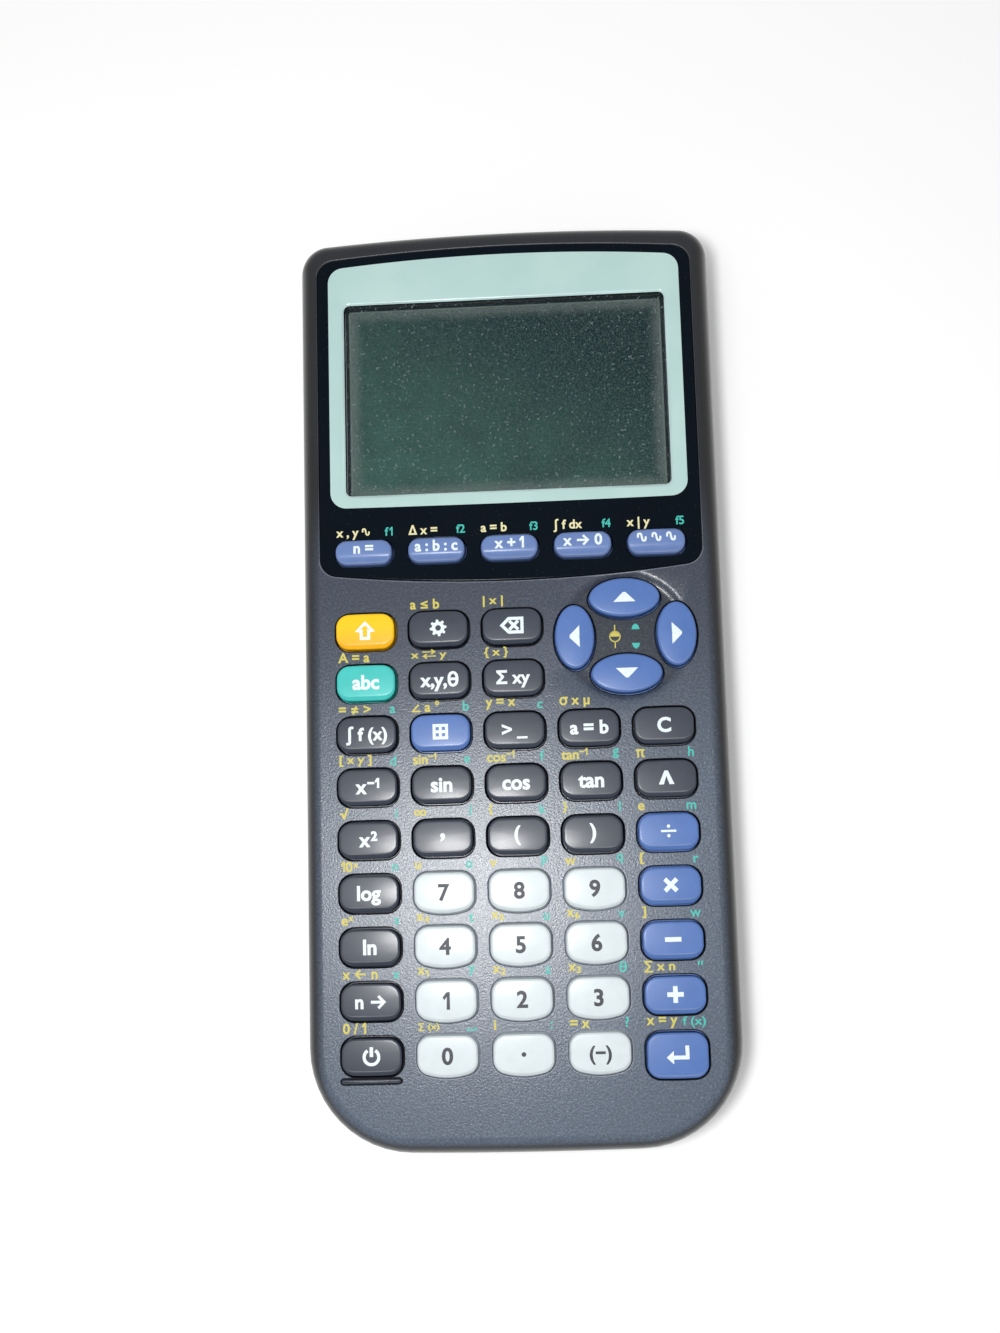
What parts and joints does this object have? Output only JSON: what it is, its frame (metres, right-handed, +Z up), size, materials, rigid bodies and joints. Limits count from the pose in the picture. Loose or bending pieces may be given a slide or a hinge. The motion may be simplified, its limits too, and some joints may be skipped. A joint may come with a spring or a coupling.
{
  "type": "graphing calculator",
  "caption": "Handheld graphing calculator with a recessed display under a black panel, a full keypad with an arrow pad, and a tipping battery door.",
  "frame": {"origin": "centre of the footprint, on the surface it lies on", "axes": "+X to the right-hand side, +Y to the display end, +Z up through the keys"},
  "size_m": [0.083, 0.1826, 0.023],
  "materials": {
    "front_case": "fine speckled texture",
    "back_case": "fine texture",
    "battery_door": "fine texture",
    "display_panel": "glossy black panel, mint surround, clear window",
    "lcd": "dark grey-green liquid crystal cell in a bezel",
    "circuit_board": "green solder mask with chips",
    "membrane": "silicone rubber",
    "batteries": "printed sleeve, bare ends",
    "contacts": "nickel plated",
    "screws": "zinc plated",
    "key_blue": "satin moulded, white legend",
    "key_dark": "satin moulded, white legend",
    "key_white": "satin moulded, grey legend",
    "key_orange": "satin moulded, white legend",
    "key_teal": "satin moulded, white legend"
  },
  "bodies": {
    "calculator_body": {"front_case": "front_case", "back_case": "back_case", "display_lens": "display_panel", "lcd_module": "lcd", "circuit_board": "circuit_board", "keypad_membrane": "membrane", "batteries": "batteries", "battery_contacts": "contacts", "case_screws": "screws"},
    "battery_door": {"battery_door": "battery_door"},
    "key_function_1": {"key_function_1": "key_blue"},
    "key_function_2": {"key_function_2": "key_blue"},
    "key_function_3": {"key_function_3": "key_blue"},
    "key_function_4": {"key_function_4": "key_blue"},
    "key_function_5": {"key_function_5": "key_blue"},
    "key_second": {"key_second": "key_orange"},
    "key_mode": {"key_mode": "key_dark"},
    "key_delete": {"key_delete": "key_dark"},
    "key_alpha": {"key_alpha": "key_teal"},
    "key_variable": {"key_variable": "key_dark"},
    "key_statistics": {"key_statistics": "key_dark"},
    "key_math": {"key_math": "key_dark"},
    "key_apps": {"key_apps": "key_blue"},
    "key_program": {"key_program": "key_dark"},
    "key_vars": {"key_vars": "key_dark"},
    "key_clear": {"key_clear": "key_dark"},
    "key_reciprocal": {"key_reciprocal": "key_dark"},
    "key_sin": {"key_sin": "key_dark"},
    "key_cos": {"key_cos": "key_dark"},
    "key_tan": {"key_tan": "key_dark"},
    "key_power": {"key_power": "key_dark"},
    "key_square": {"key_square": "key_dark"},
    "key_comma": {"key_comma": "key_dark"},
    "key_paren_open": {"key_paren_open": "key_dark"},
    "key_paren_close": {"key_paren_close": "key_dark"},
    "key_divide": {"key_divide": "key_blue"},
    "key_log": {"key_log": "key_dark"},
    "key_multiply": {"key_multiply": "key_blue"},
    "key_ln": {"key_ln": "key_dark"},
    "key_minus": {"key_minus": "key_blue"},
    "key_store": {"key_store": "key_dark"},
    "key_plus": {"key_plus": "key_blue"},
    "key_on": {"key_on": "key_dark"},
    "key_7": {"key_7": "key_white"},
    "key_8": {"key_8": "key_white"},
    "key_9": {"key_9": "key_white"},
    "key_4": {"key_4": "key_white"},
    "key_5": {"key_5": "key_white"},
    "key_6": {"key_6": "key_white"},
    "key_1": {"key_1": "key_white"},
    "key_2": {"key_2": "key_white"},
    "key_3": {"key_3": "key_white"},
    "key_0": {"key_0": "key_white"},
    "key_point": {"key_point": "key_white"},
    "key_negative": {"key_negative": "key_white"},
    "key_enter": {"key_enter": "key_blue"},
    "key_arrow_up": {"key_arrow_up": "key_blue"},
    "key_arrow_down": {"key_arrow_down": "key_blue"},
    "key_arrow_left": {"key_arrow_left": "key_blue"},
    "key_arrow_right": {"key_arrow_right": "key_blue"}
  },
  "joints": [
    {"name": "battery_door_hinge", "type": "hinge", "parent": "calculator_body", "child": "battery_door", "pos_m": [0, 0.02458, 0.0008], "axis": [-1, 0, 0], "range_deg": [0, 75]},
    {"name": "key_function_1_press", "type": "slide", "parent": "calculator_body", "child": "key_function_1", "axis": [0, 0, -1], "range_m": [0, 0.0011], "stiffness_N_per_m": 400, "springref_m": -0.0005, "deforming": ["keypad_membrane"]},
    {"name": "key_function_2_press", "type": "slide", "parent": "calculator_body", "child": "key_function_2", "axis": [0, 0, -1], "range_m": [0, 0.0011], "stiffness_N_per_m": 400, "springref_m": -0.0005, "deforming": ["keypad_membrane"]},
    {"name": "key_function_3_press", "type": "slide", "parent": "calculator_body", "child": "key_function_3", "axis": [0, 0, -1], "range_m": [0, 0.0011], "stiffness_N_per_m": 400, "springref_m": -0.0005, "deforming": ["keypad_membrane"]},
    {"name": "key_function_4_press", "type": "slide", "parent": "calculator_body", "child": "key_function_4", "axis": [0, 0, -1], "range_m": [0, 0.0011], "stiffness_N_per_m": 400, "springref_m": -0.0005, "deforming": ["keypad_membrane"]},
    {"name": "key_function_5_press", "type": "slide", "parent": "calculator_body", "child": "key_function_5", "axis": [0, 0, -1], "range_m": [0, 0.0011], "stiffness_N_per_m": 400, "springref_m": -0.0005, "deforming": ["keypad_membrane"]},
    {"name": "key_second_press", "type": "slide", "parent": "calculator_body", "child": "key_second", "axis": [0, 0, -1], "range_m": [0, 0.0011], "stiffness_N_per_m": 400, "springref_m": -0.0005, "deforming": ["keypad_membrane"]},
    {"name": "key_mode_press", "type": "slide", "parent": "calculator_body", "child": "key_mode", "axis": [0, 0, -1], "range_m": [0, 0.0011], "stiffness_N_per_m": 400, "springref_m": -0.0005, "deforming": ["keypad_membrane"]},
    {"name": "key_delete_press", "type": "slide", "parent": "calculator_body", "child": "key_delete", "axis": [0, 0, -1], "range_m": [0, 0.0011], "stiffness_N_per_m": 400, "springref_m": -0.0005, "deforming": ["keypad_membrane"]},
    {"name": "key_alpha_press", "type": "slide", "parent": "calculator_body", "child": "key_alpha", "axis": [0, 0, -1], "range_m": [0, 0.0011], "stiffness_N_per_m": 400, "springref_m": -0.0005, "deforming": ["keypad_membrane"]},
    {"name": "key_variable_press", "type": "slide", "parent": "calculator_body", "child": "key_variable", "axis": [0, 0, -1], "range_m": [0, 0.0011], "stiffness_N_per_m": 400, "springref_m": -0.0005, "deforming": ["keypad_membrane"]},
    {"name": "key_statistics_press", "type": "slide", "parent": "calculator_body", "child": "key_statistics", "axis": [0, 0, -1], "range_m": [0, 0.0011], "stiffness_N_per_m": 400, "springref_m": -0.0005, "deforming": ["keypad_membrane"]},
    {"name": "key_math_press", "type": "slide", "parent": "calculator_body", "child": "key_math", "axis": [0, 0, -1], "range_m": [0, 0.0011], "stiffness_N_per_m": 400, "springref_m": -0.0005, "deforming": ["keypad_membrane"]},
    {"name": "key_apps_press", "type": "slide", "parent": "calculator_body", "child": "key_apps", "axis": [0, 0, -1], "range_m": [0, 0.0011], "stiffness_N_per_m": 400, "springref_m": -0.0005, "deforming": ["keypad_membrane"]},
    {"name": "key_program_press", "type": "slide", "parent": "calculator_body", "child": "key_program", "axis": [0, 0, -1], "range_m": [0, 0.0011], "stiffness_N_per_m": 400, "springref_m": -0.0005, "deforming": ["keypad_membrane"]},
    {"name": "key_vars_press", "type": "slide", "parent": "calculator_body", "child": "key_vars", "axis": [0, 0, -1], "range_m": [0, 0.0011], "stiffness_N_per_m": 400, "springref_m": -0.0005, "deforming": ["keypad_membrane"]},
    {"name": "key_clear_press", "type": "slide", "parent": "calculator_body", "child": "key_clear", "axis": [0, 0, -1], "range_m": [0, 0.0011], "stiffness_N_per_m": 400, "springref_m": -0.0005, "deforming": ["keypad_membrane"]},
    {"name": "key_reciprocal_press", "type": "slide", "parent": "calculator_body", "child": "key_reciprocal", "axis": [0, 0, -1], "range_m": [0, 0.0011], "stiffness_N_per_m": 400, "springref_m": -0.0005, "deforming": ["keypad_membrane"]},
    {"name": "key_sin_press", "type": "slide", "parent": "calculator_body", "child": "key_sin", "axis": [0, 0, -1], "range_m": [0, 0.0011], "stiffness_N_per_m": 400, "springref_m": -0.0005, "deforming": ["keypad_membrane"]},
    {"name": "key_cos_press", "type": "slide", "parent": "calculator_body", "child": "key_cos", "axis": [0, 0, -1], "range_m": [0, 0.0011], "stiffness_N_per_m": 400, "springref_m": -0.0005, "deforming": ["keypad_membrane"]},
    {"name": "key_tan_press", "type": "slide", "parent": "calculator_body", "child": "key_tan", "axis": [0, 0, -1], "range_m": [0, 0.0011], "stiffness_N_per_m": 400, "springref_m": -0.0005, "deforming": ["keypad_membrane"]},
    {"name": "key_power_press", "type": "slide", "parent": "calculator_body", "child": "key_power", "axis": [0, 0, -1], "range_m": [0, 0.0011], "stiffness_N_per_m": 400, "springref_m": -0.0005, "deforming": ["keypad_membrane"]},
    {"name": "key_square_press", "type": "slide", "parent": "calculator_body", "child": "key_square", "axis": [0, 0, -1], "range_m": [0, 0.0011], "stiffness_N_per_m": 400, "springref_m": -0.0005, "deforming": ["keypad_membrane"]},
    {"name": "key_comma_press", "type": "slide", "parent": "calculator_body", "child": "key_comma", "axis": [0, 0, -1], "range_m": [0, 0.0011], "stiffness_N_per_m": 400, "springref_m": -0.0005, "deforming": ["keypad_membrane"]},
    {"name": "key_paren_open_press", "type": "slide", "parent": "calculator_body", "child": "key_paren_open", "axis": [0, 0, -1], "range_m": [0, 0.0011], "stiffness_N_per_m": 400, "springref_m": -0.0005, "deforming": ["keypad_membrane"]},
    {"name": "key_paren_close_press", "type": "slide", "parent": "calculator_body", "child": "key_paren_close", "axis": [0, 0, -1], "range_m": [0, 0.0011], "stiffness_N_per_m": 400, "springref_m": -0.0005, "deforming": ["keypad_membrane"]},
    {"name": "key_divide_press", "type": "slide", "parent": "calculator_body", "child": "key_divide", "axis": [0, 0, -1], "range_m": [0, 0.0011], "stiffness_N_per_m": 400, "springref_m": -0.0005, "deforming": ["keypad_membrane"]},
    {"name": "key_log_press", "type": "slide", "parent": "calculator_body", "child": "key_log", "axis": [0, 0, -1], "range_m": [0, 0.0011], "stiffness_N_per_m": 400, "springref_m": -0.0005, "deforming": ["keypad_membrane"]},
    {"name": "key_multiply_press", "type": "slide", "parent": "calculator_body", "child": "key_multiply", "axis": [0, 0, -1], "range_m": [0, 0.0011], "stiffness_N_per_m": 400, "springref_m": -0.0005, "deforming": ["keypad_membrane"]},
    {"name": "key_ln_press", "type": "slide", "parent": "calculator_body", "child": "key_ln", "axis": [0, 0, -1], "range_m": [0, 0.0011], "stiffness_N_per_m": 400, "springref_m": -0.0005, "deforming": ["keypad_membrane"]},
    {"name": "key_minus_press", "type": "slide", "parent": "calculator_body", "child": "key_minus", "axis": [0, 0, -1], "range_m": [0, 0.0011], "stiffness_N_per_m": 400, "springref_m": -0.0005, "deforming": ["keypad_membrane"]},
    {"name": "key_store_press", "type": "slide", "parent": "calculator_body", "child": "key_store", "axis": [0, 0, -1], "range_m": [0, 0.0011], "stiffness_N_per_m": 400, "springref_m": -0.0005, "deforming": ["keypad_membrane"]},
    {"name": "key_plus_press", "type": "slide", "parent": "calculator_body", "child": "key_plus", "axis": [0, 0, -1], "range_m": [0, 0.0011], "stiffness_N_per_m": 400, "springref_m": -0.0005, "deforming": ["keypad_membrane"]},
    {"name": "key_on_press", "type": "slide", "parent": "calculator_body", "child": "key_on", "axis": [0, 0, -1], "range_m": [0, 0.0011], "stiffness_N_per_m": 400, "springref_m": -0.0005, "deforming": ["keypad_membrane"]},
    {"name": "key_7_press", "type": "slide", "parent": "calculator_body", "child": "key_7", "axis": [0, 0, -1], "range_m": [0, 0.0011], "stiffness_N_per_m": 400, "springref_m": -0.0005, "deforming": ["keypad_membrane"]},
    {"name": "key_8_press", "type": "slide", "parent": "calculator_body", "child": "key_8", "axis": [0, 0, -1], "range_m": [0, 0.0011], "stiffness_N_per_m": 400, "springref_m": -0.0005, "deforming": ["keypad_membrane"]},
    {"name": "key_9_press", "type": "slide", "parent": "calculator_body", "child": "key_9", "axis": [0, 0, -1], "range_m": [0, 0.0011], "stiffness_N_per_m": 400, "springref_m": -0.0005, "deforming": ["keypad_membrane"]},
    {"name": "key_4_press", "type": "slide", "parent": "calculator_body", "child": "key_4", "axis": [0, 0, -1], "range_m": [0, 0.0011], "stiffness_N_per_m": 400, "springref_m": -0.0005, "deforming": ["keypad_membrane"]},
    {"name": "key_5_press", "type": "slide", "parent": "calculator_body", "child": "key_5", "axis": [0, 0, -1], "range_m": [0, 0.0011], "stiffness_N_per_m": 400, "springref_m": -0.0005, "deforming": ["keypad_membrane"]},
    {"name": "key_6_press", "type": "slide", "parent": "calculator_body", "child": "key_6", "axis": [0, 0, -1], "range_m": [0, 0.0011], "stiffness_N_per_m": 400, "springref_m": -0.0005, "deforming": ["keypad_membrane"]},
    {"name": "key_1_press", "type": "slide", "parent": "calculator_body", "child": "key_1", "axis": [0, 0, -1], "range_m": [0, 0.0011], "stiffness_N_per_m": 400, "springref_m": -0.0005, "deforming": ["keypad_membrane"]},
    {"name": "key_2_press", "type": "slide", "parent": "calculator_body", "child": "key_2", "axis": [0, 0, -1], "range_m": [0, 0.0011], "stiffness_N_per_m": 400, "springref_m": -0.0005, "deforming": ["keypad_membrane"]},
    {"name": "key_3_press", "type": "slide", "parent": "calculator_body", "child": "key_3", "axis": [0, 0, -1], "range_m": [0, 0.0011], "stiffness_N_per_m": 400, "springref_m": -0.0005, "deforming": ["keypad_membrane"]},
    {"name": "key_0_press", "type": "slide", "parent": "calculator_body", "child": "key_0", "axis": [0, 0, -1], "range_m": [0, 0.0011], "stiffness_N_per_m": 400, "springref_m": -0.0005, "deforming": ["keypad_membrane"]},
    {"name": "key_point_press", "type": "slide", "parent": "calculator_body", "child": "key_point", "axis": [0, 0, -1], "range_m": [0, 0.0011], "stiffness_N_per_m": 400, "springref_m": -0.0005, "deforming": ["keypad_membrane"]},
    {"name": "key_negative_press", "type": "slide", "parent": "calculator_body", "child": "key_negative", "axis": [0, 0, -1], "range_m": [0, 0.0011], "stiffness_N_per_m": 400, "springref_m": -0.0005, "deforming": ["keypad_membrane"]},
    {"name": "key_enter_press", "type": "slide", "parent": "calculator_body", "child": "key_enter", "axis": [0, 0, -1], "range_m": [0, 0.0011], "stiffness_N_per_m": 400, "springref_m": -0.0005, "deforming": ["keypad_membrane"]},
    {"name": "key_arrow_up_press", "type": "slide", "parent": "calculator_body", "child": "key_arrow_up", "axis": [0, 0, -1], "range_m": [0, 0.0011], "stiffness_N_per_m": 400, "springref_m": -0.0005, "deforming": ["keypad_membrane"]},
    {"name": "key_arrow_down_press", "type": "slide", "parent": "calculator_body", "child": "key_arrow_down", "axis": [0, 0, -1], "range_m": [0, 0.0011], "stiffness_N_per_m": 400, "springref_m": -0.0005, "deforming": ["keypad_membrane"]},
    {"name": "key_arrow_left_press", "type": "slide", "parent": "calculator_body", "child": "key_arrow_left", "axis": [0, 0, -1], "range_m": [0, 0.0011], "stiffness_N_per_m": 400, "springref_m": -0.0005, "deforming": ["keypad_membrane"]},
    {"name": "key_arrow_right_press", "type": "slide", "parent": "calculator_body", "child": "key_arrow_right", "axis": [0, 0, -1], "range_m": [0, 0.0011], "stiffness_N_per_m": 400, "springref_m": -0.0005, "deforming": ["keypad_membrane"]}
  ]
}
